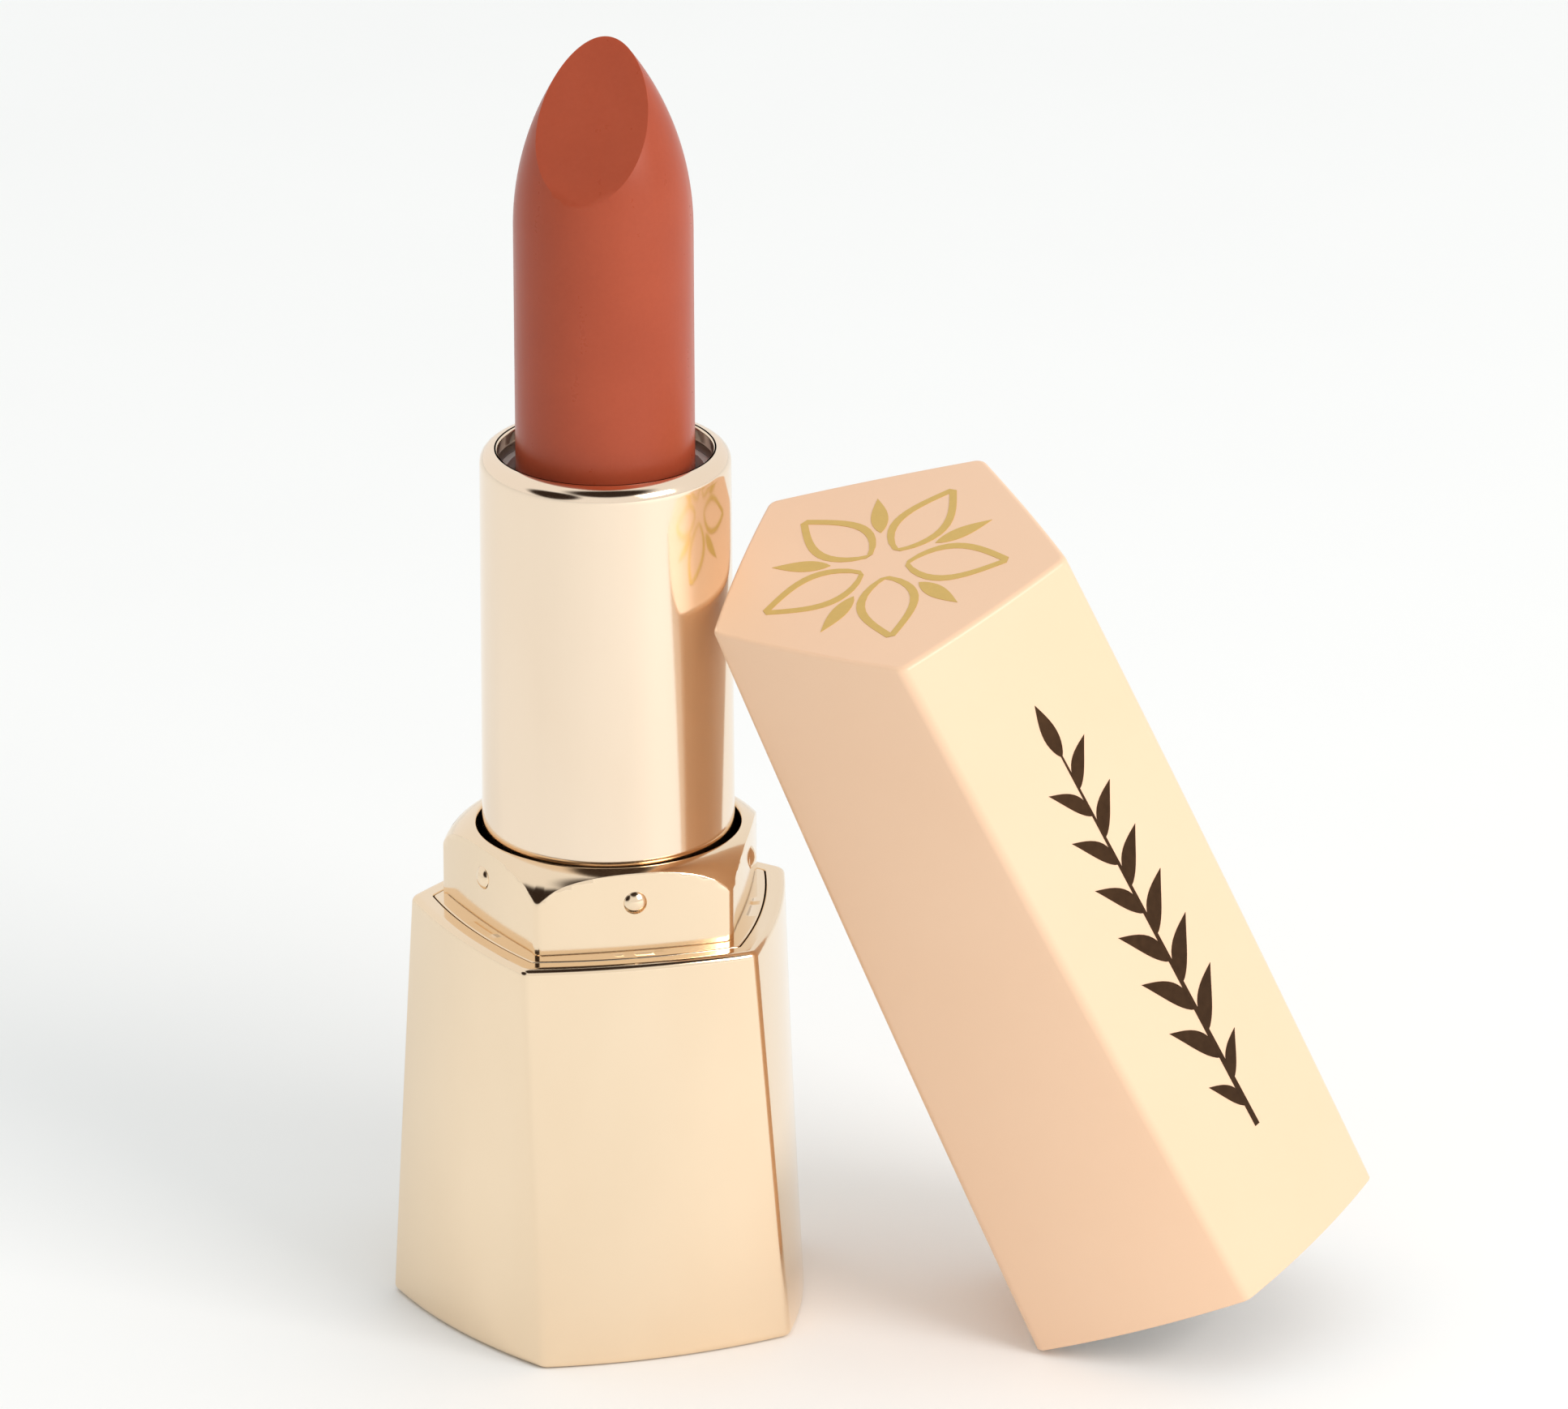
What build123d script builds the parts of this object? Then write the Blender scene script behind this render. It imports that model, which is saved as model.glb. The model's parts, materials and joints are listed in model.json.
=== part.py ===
from build123d import *
from math import cos, radians, sin, tan
import os

# Twist-up lipstick in a five-sided case. The case stands on z = 0 with its axis on Z and its
# stick fully raised; the cap is off and leans against the tube. Lengths are in millimetres.
# Corner turns are counted about Z from the front (-Y), anticlockwise seen from above.

os.makedirs("parts", exist_ok=True)

# ---- stick and cup, which everything else is built round ----
STICK_RADIUS = 6.05
STICK_LENGTH = 40.6         # cup floor to the uncut point of the nose
NOSE_RADIUS = 20.5          # radius of the arc that draws the nose in
CUT_TILT = 53.0             # slope of the slanted cut
CUT_TURN = -16.0            # direction that the cut faces
CUT_DROP = 3.5              # uncut point down to where the cut crosses the axis
CUP_WALL = 0.5
CUP_HEIGHT = 9.0
CUP_FLOOR = 1.2
CUP_SETBACK = 2.5           # tube's rim down to the cup's, stick fully raised
LUG_RADIUS = 0.9
LUG_HEIGHT = 1.4            # cup's underside to lug centre
TRAVEL = 31.0               # how far the stick rises
TURNS = 1.5                 # turns of the tube for that rise

# ---- clearances ----
SEAM = 0.08                 # gap at the joint lines between fixed pieces
PRESS_GAP = 0.02            # gap all round a pressed or glued fit
RUNNING = 0.05              # radial clearance of turning fits
CUP_CLEARANCE = 0.17        # cup to the fork it slides in
LUG_GAP = 0.1               # side clearance of a lug in slot and groove
LIP_CLEARANCE = 1.21        # stick to the lip of the rolled rim
NECK_CLEARANCE = 0.33       # tube to the neck's bore
NECK_FIT = 0.15             # clearance round the neck when the cap is on
CAP_TOUCH = 0.12            # gap left between the leaning cap and the tube
OVERCUT = 1.0               # how far a cutting form runs past the face it opens

# ---- fork, cam and tube ----
FORK_BOTTOM = 9.0
FORK_WALL = 0.5
FORK_SOCKET = 6.0           # length of the fork below its flange
FORK_FLANGE_WIDTH = 1.08
FORK_FLANGE_THICKNESS = 1.2
FORK_TOP_GAP = 0.5          # fork end to the underside of the rolled rim
SLOT_MARGIN = 1.5           # slot length above the raised lugs
BEAD_HEIGHT = 0.6           # snap bead that holds the cam on the fork
BEAD_STANDOUT = 0.2
GROOVE_DEPTH = 0.4
CAM_WALL = 0.75
RING_THICKNESS = 0.8        # silicone ring that gives the turn its drag
RING_WALL = 0.7
TUBE_TOP = 61.3
TUBE_SETBACK = 0.95         # cam's lower end to the tube's
TUBE_WALL = 0.44            # at the rim
TUBE_DRAFT = 0.14           # how much wider the tube is at its lower end
LIP_THICKNESS = 1.1
RIM_ROUNDING = 1.0
RIM_INNER_ROUNDING = 0.2

# ---- neck collar ----
NECK_WALL = 0.763           # at the middle of a face
NECK_BULGE = 0.45
NECK_CORNER = 0.8
NECK_HEIGHT = 6.1           # ledge to the top of the neck
SHOULDER_RADIUS = 3.2       # the dome that rounds the neck's corners off
SHOULDER_DEPTH = 3.1        # top of the neck down to where the dome starts
FLANGE_THICKNESS = 1.5
SKIRT_DEPTH = 5.0           # how far the collar reaches into the base
SKIRT_WALL = 0.9
BUMP_RADIUS = 1.1           # snap bumps, one on each face of the neck
BUMP_STANDOUT = 0.35
BUMP_HEIGHT = 3.7           # ledge to bump centre

# ---- the five-sided form, shared by the base and the cap ----
SIDES = 5
BASE_HEIGHT = 28.4          # table to the ledge that the cap closes on
LEDGE_STEP = 2.15           # neck's unrounded corner to the ledge's
FOOT_FLARE = 1.4            # ledge's unrounded corner to the foot's
CAP_TAPER = 1.0             # mouth's unrounded corner to the closed end's
FOOT_BULGE = 0.95           # how far each side bows out at the table
LEDGE_BULGE = 0.65          # the same at the ledge and at the cap's mouth
CAP_TOP_BULGE = 0.2
CORNER_ROUNDING = 0.9
SMALLEST_CORNER = 0.3       # rounding left in the corners of forms that are set far in
SOFT_EDGE = 0.45            # rounding of the base's ledge and foot
LEDGE_TURN = -25.0          # turn of the front corner at the ledge
BASE_TWIST = 7.0            # turn gained from the ledge down to the table
CAP_HEIGHT = 54.0           # mouth to the middle of the slanted end
CAP_TWIST = 19.5            # turn gained from the closed end down to the mouth
CAP_END_SLOPE = 16.0        # tilt of the closed end, highest at one back corner
BASE_WALL = 1.2
BASE_FLOOR = 1.6
CAP_WALL = 1.1
CAP_END_WALL = 1.4

# ---- base core, weight and label ----
WEIGHT_HEIGHT = 5.0
WEIGHT_RADIUS = 10.0
WEIGHT_HOLE_RADIUS = 1.5
CORE_FLOOR = 1.5
CORE_TUBE_WALL = 1.2
CORE_TOP = 22.0
RIB_THICKNESS = 1.2
LABEL_RADIUS = 9.0
LABEL_RECESS = 0.3          # depth of the label's seat in the underside

# ---- cap liner and the cap's place ----
LINER_WALL = 0.9
LINER_ROOM = 3.2            # tube's rim to the liner's end when the cap is on
LINER_COLLAR = 9.0          # height of the top of the five-sided collar at its mouth
LINER_SETBACK = 0.5         # liner's edge above the cap's mouth
CAP_LEAN = 22.3
CAP_MOUTH_TURN = 18.0       # puts one side of the mouth along Y
CAP_OFFSET_Y = -4.2
SETTLING_STEPS = 6          # slides that bring the leaning cap up to the tube

# ---- radii from the stick outwards ----
HALF_SIDE = 180 / SIDES
CUP_RADIUS = STICK_RADIUS + CUP_WALL
FORK_BORE_RADIUS = CUP_RADIUS + CUP_CLEARANCE
FORK_RADIUS = FORK_BORE_RADIUS + FORK_WALL
CAM_BORE_RADIUS = FORK_RADIUS + RUNNING
LUG_TIP_RADIUS = CAM_BORE_RADIUS + GROOVE_DEPTH - LUG_GAP
CAM_RADIUS = CAM_BORE_RADIUS + CAM_WALL
TUBE_BORE_RADIUS = CAM_RADIUS + PRESS_GAP
TUBE_TOP_RADIUS = TUBE_BORE_RADIUS + TUBE_WALL
TUBE_FOOT_RADIUS = TUBE_TOP_RADIUS + TUBE_DRAFT
LIP_RADIUS = STICK_RADIUS + LIP_CLEARANCE
NECK_BORE_RADIUS = TUBE_FOOT_RADIUS + NECK_CLEARANCE
SKIRT_RADIUS = NECK_BORE_RADIUS + SKIRT_WALL
NECK_RADIUS = (NECK_BORE_RADIUS + NECK_WALL - NECK_BULGE) / cos(radians(HALF_SIDE))
LEDGE_RADIUS = NECK_RADIUS + LEDGE_STEP
FOOT_RADIUS = LEDGE_RADIUS + FOOT_FLARE
CAP_TOP_RADIUS = LEDGE_RADIUS - CAP_TAPER

# ---- heights from the base upwards ----
FLANGE_BOTTOM = FORK_BOTTOM + FORK_SOCKET
FLANGE_TOP = FLANGE_BOTTOM + FORK_FLANGE_THICKNESS
RING_TOP = FLANGE_TOP + RING_THICKNESS
CAM_BOTTOM = RING_TOP + RUNNING
TUBE_BOTTOM = CAM_BOTTOM + TUBE_SETBACK
FORK_TOP = TUBE_TOP - LIP_THICKNESS - FORK_TOP_GAP
CUP_TOP_RAISED = TUBE_TOP - CUP_SETBACK
CUP_BOTTOM = CUP_TOP_RAISED - CUP_HEIGHT
LUG_Z = CUP_BOTTOM + LUG_HEIGHT
STICK_BOTTOM = CUP_BOTTOM + CUP_FLOOR
STICK_POINT = STICK_BOTTOM + STICK_LENGTH
LINER_LENGTH = TUBE_TOP - BASE_HEIGHT + LINER_ROOM + LINER_WALL
CAP_RIDGE = CAP_HEIGHT + 1.5 * CAP_TOP_RADIUS * tan(radians(CAP_END_SLOPE))


def blend(low, high, share):
    return low + (high - low) * share


def pentagon(radius, bulge, corner, turn, z):
    """Five-sided outline with bowed sides and rounded corners, as a face at height z."""
    step = 360 / SIDES
    corners = [Vector(0, -radius).rotate(Axis.Z, turn + step * k) for k in range(SIDES)]
    with BuildSketch(Plane.XY.offset(z)) as outline:
        with BuildLine():
            for start, end in zip(corners, corners[1:] + corners[:1]):
                middle = (start + end) / 2
                ThreePointArc(start, middle + middle.normalized() * bulge, end)
        make_face()
        fillet(outline.vertices(), corner)
    return outline.sketch


def inset_radius(radius, inset):
    """Corner radius of a pentagon whose sides lie the given distance further in."""
    return radius - inset / cos(radians(HALF_SIDE))


def inset_corner(inset):
    return max(CORNER_ROUNDING - inset, SMALLEST_CORNER)


def base_column(low, high, inset=0.0):
    """The base's outer form between two heights, or a form set in from it."""
    sections = []
    for share in (0, 0.5, 1):
        z = blend(low, high, share)
        up = z / BASE_HEIGHT
        radius = inset_radius(blend(FOOT_RADIUS, LEDGE_RADIUS, up), inset)
        bulge = blend(FOOT_BULGE, LEDGE_BULGE, up)
        turn = LEDGE_TURN + BASE_TWIST * (1 - up)
        sections.append(pentagon(radius, bulge, inset_corner(inset), turn, z))
    return loft(sections)


def cap_column(low, high, inset=0.0):
    """The cap's outer form between two heights above its mouth, or a form set in from it."""
    sections = []
    for share in (0, 0.25, 0.5, 0.75, 1):
        z = blend(low, high, share)
        up = z / CAP_HEIGHT
        radius = inset_radius(blend(LEDGE_RADIUS, CAP_TOP_RADIUS, up), inset)
        bulge = blend(LEDGE_BULGE, CAP_TOP_BULGE, min(up, 1))
        turn = CAP_MOUTH_TURN - CAP_TWIST * up
        sections.append(pentagon(radius, bulge, inset_corner(inset), turn, z))
    return loft(sections)


def tube_between(low, high, inner, outer):
    ring = Circle(outer) - Circle(inner)
    return extrude(Pos(0, 0, low) * ring, high - low)


def rod(low, high, radius):
    return extrude(Pos(0, 0, low) * Circle(radius), high - low)


def ribs(low, high, inner, outer, turn):
    """Radial plates, one towards each corner."""
    plates = []
    for k in range(SIDES):
        length = outer - inner
        plate = Pos((inner + outer) / 2, 0, (low + high) / 2) * Box(length, RIB_THICKNESS, high - low)
        plates.append(Rot(0, 0, turn - 90 + 360 / SIDES * k) * plate)
    return plates


def bumps(radius, height, turn):
    """Balls sunk into the middle of each neck face, to stand out by BUMP_STANDOUT."""
    face = NECK_RADIUS * cos(radians(HALF_SIDE)) + NECK_BULGE
    reach = face + BUMP_STANDOUT - BUMP_RADIUS
    balls = []
    for k in range(SIDES):
        around = Rot(0, 0, turn - 90 + HALF_SIDE + 360 / SIDES * k)
        balls.append(around * Pos(reach, 0, height) * Sphere(radius))
    return balls


def base_shell():
    body = base_column(0, BASE_HEIGHT)
    body = fillet(body.faces().filter_by(Plane.XY).edges(), SOFT_EDGE)
    body -= base_column(BASE_FLOOR, BASE_HEIGHT + OVERCUT, BASE_WALL)
    return body - rod(0, LABEL_RECESS, LABEL_RADIUS + SEAM)


def bottom_label():
    return rod(0, LABEL_RECESS - PRESS_GAP, LABEL_RADIUS)


def base_weight():
    top = BASE_FLOOR + WEIGHT_HEIGHT
    return tube_between(BASE_FLOOR, top, WEIGHT_HOLE_RADIUS, WEIGHT_RADIUS)


def base_core():
    """Ribbed holder that grips the fork's foot and fills the base down to the weight."""
    bottom = BASE_FLOOR + WEIGHT_HEIGHT
    inner = FORK_RADIUS + PRESS_GAP
    outer = inner + CORE_TUBE_WALL
    envelope = base_column(bottom, CORE_TOP, BASE_WALL + SEAM)
    floor = envelope & rod(bottom, bottom + CORE_FLOOR, 2 * FOOT_RADIUS)
    body = floor + tube_between(bottom, FLANGE_BOTTOM, inner, outer)
    arms = ribs(bottom, CORE_TOP, SKIRT_RADIUS, FOOT_RADIUS, LEDGE_TURN)
    web_outer = SKIRT_RADIUS + RIB_THICKNESS
    webs = ribs(bottom, FLANGE_BOTTOM, (inner + outer) / 2, web_outer, LEDGE_TURN)
    for plate in arms + webs:
        body += plate & envelope
    return body


def neck_collar():
    """Five-sided neck with a domed shoulder, a flange in the base's mouth and a skirt below."""
    flange_radius = inset_radius(LEDGE_RADIUS, BASE_WALL + SEAM)
    top = BASE_HEIGHT + NECK_HEIGHT
    neck = pentagon(NECK_RADIUS, NECK_BULGE, NECK_CORNER, LEDGE_TURN, BASE_HEIGHT)
    body = extrude(neck, NECK_HEIGHT)
    centre_z = top - SHOULDER_DEPTH
    shoulder = rod(BASE_HEIGHT, centre_z, 2 * NECK_RADIUS)
    shoulder_centre = NECK_RADIUS - SHOULDER_RADIUS
    shoulder += Pos(0, 0, centre_z) * Torus(shoulder_centre, SHOULDER_RADIUS)
    shoulder += rod(centre_z, top, shoulder_centre)
    body &= shoulder
    flange = pentagon(flange_radius, LEDGE_BULGE, inset_corner(BASE_WALL), LEDGE_TURN, 0)
    body += extrude(Pos(0, 0, BASE_HEIGHT - FLANGE_THICKNESS) * flange, FLANGE_THICKNESS)
    body += rod(BASE_HEIGHT - SKIRT_DEPTH, BASE_HEIGHT, SKIRT_RADIUS)
    for ball in bumps(BUMP_RADIUS, BASE_HEIGHT + BUMP_HEIGHT, LEDGE_TURN):
        body += ball
    return body - rod(0, top + OVERCUT, NECK_BORE_RADIUS)


def fork():
    """Slotted tube that keeps the cup from turning; fixed in the base core."""
    body = tube_between(FORK_BOTTOM, FORK_TOP, FORK_BORE_RADIUS, FORK_RADIUS)
    flange_radius = FORK_RADIUS + FORK_FLANGE_WIDTH
    body += tube_between(FLANGE_BOTTOM, FLANGE_TOP, FORK_BORE_RADIUS, flange_radius)
    bead_low = CAM_BOTTOM + BEAD_HEIGHT
    body += tube_between(bead_low, bead_low + BEAD_HEIGHT, FORK_BORE_RADIUS,
                         FORK_RADIUS + BEAD_STANDOUT)
    low = LUG_Z - TRAVEL - LUG_RADIUS - LUG_GAP
    high = LUG_Z + LUG_RADIUS + SLOT_MARGIN
    width = 2 * (LUG_RADIUS + LUG_GAP)
    slot = Box(4 * FORK_RADIUS, width, high - low, align=(Align.CENTER, Align.CENTER, Align.MIN))
    return body - Pos(0, 0, low) * slot


def friction_ring():
    return tube_between(FLANGE_TOP, RING_TOP, CAM_BORE_RADIUS, CAM_BORE_RADIUS + RING_WALL)


def cam():
    """Sleeve with two helical grooves that drive the cup's lugs; fixed in the tube."""
    body = tube_between(CAM_BOTTOM, FORK_TOP, CAM_BORE_RADIUS, CAM_RADIUS)
    bead_low = CAM_BOTTOM + BEAD_HEIGHT - RUNNING
    bead_high = CAM_BOTTOM + 2 * BEAD_HEIGHT + RUNNING
    bead_radius = CAM_BORE_RADIUS + BEAD_STANDOUT + RUNNING
    body -= tube_between(bead_low, bead_high, FORK_RADIUS, bead_radius)
    pitch = TRAVEL / TURNS
    overrun = LUG_RADIUS / 2
    start_z = LUG_Z - TRAVEL - overrun
    length = TRAVEL + 2 * overrun
    start_turn = -360 * (TRAVEL + overrun) / pitch
    path = Helix(pitch, length, CAM_BORE_RADIUS)
    tangent = path % 0
    mouth = Plane(origin=path @ 0, x_dir=(1, 0, 0), z_dir=tangent)
    groove = sweep(mouth * Rectangle(2 * GROOVE_DEPTH, 2 * (LUG_RADIUS + LUG_GAP)), path=path,
                   is_frenet=True)
    for side in (0, 180):
        body -= Pos(0, 0, start_z) * Rot(0, 0, start_turn + side) * groove
    groove_radius = CAM_BORE_RADIUS + GROOVE_DEPTH
    pocket = Cylinder(LUG_RADIUS + LUG_GAP, 2 * groove_radius, rotation=(0, 90, 0))
    for z, turn in ((LUG_Z, 0), (LUG_Z - TRAVEL, -360 * TURNS)):
        reach = Pos(0, 0, z) * Rot(0, 0, turn) * pocket
        body -= reach & rod(z - 2 * LUG_RADIUS, z + 2 * LUG_RADIUS, groove_radius)
    return body


def a_shell():
    """Drawn tube with a rolled rim, turned by hand to raise the stick."""
    with BuildSketch(Plane.XZ) as profile:
        with BuildLine():
            Polyline(
                (TUBE_BORE_RADIUS, TUBE_BOTTOM),
                (TUBE_FOOT_RADIUS, TUBE_BOTTOM),
                (TUBE_TOP_RADIUS, TUBE_TOP),
                (LIP_RADIUS, TUBE_TOP),
                (LIP_RADIUS, TUBE_TOP - LIP_THICKNESS),
                (TUBE_BORE_RADIUS, TUBE_TOP - LIP_THICKNESS),
                close=True,
            )
        make_face()
        fillet(profile.vertices().group_by(Axis.Y)[-1].sort_by(Axis.X)[0], RIM_INNER_ROUNDING)
        fillet(profile.vertices().group_by(Axis.Y)[-1].sort_by(Axis.X)[-1], RIM_ROUNDING)
    return revolve(profile.sketch, Axis.Z)


def cup():
    """Cup that carries the stick, with two lugs through the fork's slots into the grooves."""
    body = rod(CUP_BOTTOM, CUP_TOP_RAISED, CUP_RADIUS)
    body -= rod(STICK_BOTTOM, CUP_TOP_RAISED + OVERCUT, STICK_RADIUS)
    pin = Pos(0, 0, LUG_Z) * Cylinder(LUG_RADIUS, 2 * LUG_TIP_RADIUS, rotation=(0, 90, 0))
    reach = tube_between(CUP_BOTTOM, CUP_TOP_RAISED, CUP_RADIUS - CUP_WALL / 2, LUG_TIP_RADIUS)
    for lug in (pin & reach).solids():
        body += lug
    return body


def bullet():
    """Moulded stick: a cylinder drawn in to a point by one arc, then cut on the slant."""
    centre_r = STICK_RADIUS - NOSE_RADIUS
    nose_height = (NOSE_RADIUS**2 - centre_r**2) ** 0.5
    nose_z = STICK_POINT - nose_height
    half = nose_height / 2
    mid_r = centre_r + (NOSE_RADIUS**2 - half**2) ** 0.5
    with BuildSketch(Plane.XZ) as profile:
        with BuildLine():
            Polyline((0, STICK_POINT), (0, STICK_BOTTOM), (STICK_RADIUS, STICK_BOTTOM),
                     (STICK_RADIUS, nose_z))
            ThreePointArc((STICK_RADIUS, nose_z), (mid_r, nose_z + half), (0, STICK_POINT))
        make_face()
    body = revolve(profile.sketch, Axis.Z)
    tilt, turn = radians(CUT_TILT), radians(CUT_TURN)
    facing = Vector(sin(tilt) * sin(turn), -sin(tilt) * cos(turn), cos(tilt))
    cut = Plane(origin=(0, 0, STICK_POINT - CUT_DROP), z_dir=facing)
    return split(body, bisect_by=cut, keep=Keep.BOTTOM)


def cap_end(drop):
    """Plane of the slanted closed end, or one the given distance below it."""
    turn = CAP_MOUTH_TURN - CAP_TWIST + 3 * 360 / SIDES
    uphill = Vector(0, -1).rotate(Axis.Z, turn)
    normal = Vector(0, 0, 1) * cos(radians(CAP_END_SLOPE)) - uphill * sin(radians(CAP_END_SLOPE))
    return Plane(origin=(0, 0, CAP_HEIGHT - drop), z_dir=normal)


def cap_shell():
    """Outer cap, in its own frame: mouth at z = 0, closed end up."""
    body = split(cap_column(0, CAP_RIDGE), bisect_by=cap_end(0), keep=Keep.BOTTOM)
    hollow = cap_column(-OVERCUT, CAP_RIDGE, CAP_WALL)
    return body - split(hollow, bisect_by=cap_end(CAP_END_WALL), keep=Keep.BOTTOM)


def cap_liner():
    """Inner cap: a five-sided socket for the neck, then a ribbed round sleeve for the tube."""
    neck_top = NECK_HEIGHT + NECK_FIT
    envelope = cap_column(-OVERCUT, CAP_RIDGE, CAP_WALL + SEAM)
    collar_zone = rod(LINER_SETBACK, LINER_COLLAR, 2 * LEDGE_RADIUS)
    body = envelope & collar_zone
    outer = NECK_BORE_RADIUS + LINER_WALL
    body += envelope & rod(LINER_SETBACK, LINER_LENGTH, outer)
    for plate in ribs(LINER_COLLAR, LINER_LENGTH, NECK_BORE_RADIUS, LEDGE_RADIUS, CAP_MOUTH_TURN):
        body += plate & envelope
    body -= rod(0, LINER_LENGTH - LINER_WALL, NECK_BORE_RADIUS)
    socket = pentagon(inset_radius(NECK_RADIUS, -NECK_FIT), NECK_BULGE, NECK_CORNER,
                      CAP_MOUTH_TURN, 0)
    body -= extrude(socket, neck_top)
    for ball in bumps(BUMP_RADIUS + NECK_FIT, BUMP_HEIGHT, CAP_MOUTH_TURN):
        body -= ball
    return body


def leaning(offset_x):
    """Stands the cap on one side of its mouth, tipped towards the tube."""
    lowest = LEDGE_RADIUS * cos(radians(HALF_SIDE)) + LEDGE_BULGE
    lift = lowest * sin(radians(CAP_LEAN))
    return Pos(offset_x, CAP_OFFSET_Y, lift) * Rot(0, -CAP_LEAN, 0)


def cap_place(shell, tube):
    """Slides the leaning cap in along X until it all but touches the tube."""
    offset = 3 * LEDGE_RADIUS
    for _ in range(SETTLING_STEPS):
        offset -= tube.distance_to(leaning(offset) * shell) - CAP_TOUCH
    return leaning(offset)


parts = {
    "base_shell": base_shell(),
    "bottom_label": bottom_label(),
    "base_weight": base_weight(),
    "base_core": base_core(),
    "neck_collar": neck_collar(),
    "fork": fork(),
    "friction_ring": friction_ring(),
    "cam": cam(),
    "a_shell": a_shell(),
    "cup": cup(),
    "bullet": bullet(),
}
cap = cap_shell()
place = cap_place(cap, parts["a_shell"])
parts["cap_shell"] = place * cap
parts["cap_liner"] = place * cap_liner()

for name, piece in parts.items():
    export_step(piece, f"parts/{name}.step")
print("cap mouth centre", place.position, "lean", CAP_LEAN)
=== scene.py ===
# %% [markdown]
# # A twist-up lipstick in a five-sided gold case
#
# The engineering model is loaded first and stays where it is: it says where every piece sits and
# how it moves. What the eye meets is then made again with cleaner surfaces: the gold base, its
# neck, the drawn tube, the stick and the peach cap. The pieces hidden inside keep their
# engineering shape and only get a finish. Everything is in metres; MM turns millimetres into them.

# %% Load the fixed frame
import json
from math import asin, atan2, cos, pi, radians, sin, sqrt, tan

import bmesh
import bpy
from mathutils import Matrix, Vector


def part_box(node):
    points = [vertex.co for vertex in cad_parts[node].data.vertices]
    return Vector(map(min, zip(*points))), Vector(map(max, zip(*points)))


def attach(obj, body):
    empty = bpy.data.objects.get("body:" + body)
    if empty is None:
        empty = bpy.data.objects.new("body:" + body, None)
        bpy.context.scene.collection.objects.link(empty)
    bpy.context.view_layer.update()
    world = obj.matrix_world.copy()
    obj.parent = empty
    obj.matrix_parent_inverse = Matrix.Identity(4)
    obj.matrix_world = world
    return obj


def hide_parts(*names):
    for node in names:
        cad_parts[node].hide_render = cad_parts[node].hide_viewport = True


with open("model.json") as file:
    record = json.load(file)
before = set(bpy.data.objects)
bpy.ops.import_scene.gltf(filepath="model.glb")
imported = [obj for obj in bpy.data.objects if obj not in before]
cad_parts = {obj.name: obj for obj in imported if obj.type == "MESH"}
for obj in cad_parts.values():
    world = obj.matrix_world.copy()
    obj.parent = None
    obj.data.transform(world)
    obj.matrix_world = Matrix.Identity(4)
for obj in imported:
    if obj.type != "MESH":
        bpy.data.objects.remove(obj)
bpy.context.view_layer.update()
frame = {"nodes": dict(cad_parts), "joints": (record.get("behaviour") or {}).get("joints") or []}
joints = {joint["name"]: joint for joint in frame["joints"]}
MM = 0.001

# %% [markdown]
# ## Sizes
#
# The case has one outline, a five-sided form whose sides bow out a little and whose corners are
# rounded. Low down it is wider and turned one way; higher up it is narrower and turned the other
# way, so the edges lean. Keeping these few numbers together lets every later cell share them.

# %% The five-sided form
SIDES = 5
STEP_TURN = 2 * pi / SIDES
HALF_TURN = pi / SIDES
BASE_HEIGHT = 28.4 * MM
CAP_HEIGHT = 54.0 * MM
FOOT_RADIUS = 15.0 * MM
LEDGE_RADIUS = 13.6 * MM
CAP_TOP_RADIUS = 12.6 * MM
FOOT_BULGE = 0.95 * MM
LEDGE_BULGE = 0.65 * MM
CAP_TOP_BULGE = 0.2 * MM
CORNER_ROUNDING = 0.9 * MM
LEDGE_TURN = radians(-25)
FOOT_TURN = radians(-18)
CAP_MOUTH_TURN = radians(18)
CAP_TOP_TURN = radians(18 - 19.5)
CAP_END_SLOPE = tan(radians(16))
CAP_UPHILL_TURN = CAP_TOP_TURN + 3 * STEP_TURN

# %% Walls, neck, tube and stick
BASE_WALL = 1.2 * MM
BASE_FLOOR = 1.6 * MM
LABEL_SEAT_RADIUS = 9.08 * MM
LABEL_RECESS = 0.3 * MM
CAP_WALL = 1.1 * MM
CAP_END_WALL = 1.4 * MM
SEAM = 0.08 * MM
NECK_RADIUS = 11.45 * MM
NECK_BULGE = 0.45 * MM
NECK_CORNER = 0.8 * MM
NECK_TOP = BASE_HEIGHT + 6.1 * MM
SHOULDER_RADIUS = 3.2 * MM
SHOULDER_DEPTH = 3.1 * MM
NECK_BORE_RADIUS = 8.95 * MM
FLANGE_THICKNESS = 1.5 * MM
BUMP_HEIGHT = BASE_HEIGHT + 3.7 * MM
BUMP_RADIUS = 1.1 * MM
BUMP_STANDOUT = 0.35 * MM
tube_low, tube_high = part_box("a_shell")
stick_low, stick_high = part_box("bullet")
TUBE_TOP_RADIUS = 8.48 * MM
TUBE_BORE_RADIUS = 8.04 * MM
LIP_RADIUS = 7.26 * MM
LIP_THICKNESS = 1.1 * MM
STICK_RADIUS = (stick_high.x - stick_low.x) / 2
NOSE_RADIUS = 20.5 * MM
STICK_LENGTH = 40.6 * MM
CUT_DROP = 3.5 * MM
CUT_TILT = radians(53)
CUT_TURN = radians(-16)
print("tube", round(tube_low.z / MM, 2), "to", round(tube_high.z / MM, 2), "mm; stick radius",
      round(STICK_RADIUS / MM, 3), "mm")


# %% Objects and meshes
def placed(name, data):
    """A new object in the scene, from a mesh, a light or a camera."""
    item = bpy.data.objects.new(name, data)
    bpy.context.scene.collection.objects.link(item)
    return item


def kept(shape, name):
    """A shape being edited, kept as a mesh with every face turned outwards."""
    bmesh.ops.recalc_face_normals(shape, faces=shape.faces)
    mesh = bpy.data.meshes.new(name)
    shape.to_mesh(mesh)
    shape.free()
    return mesh


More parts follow.
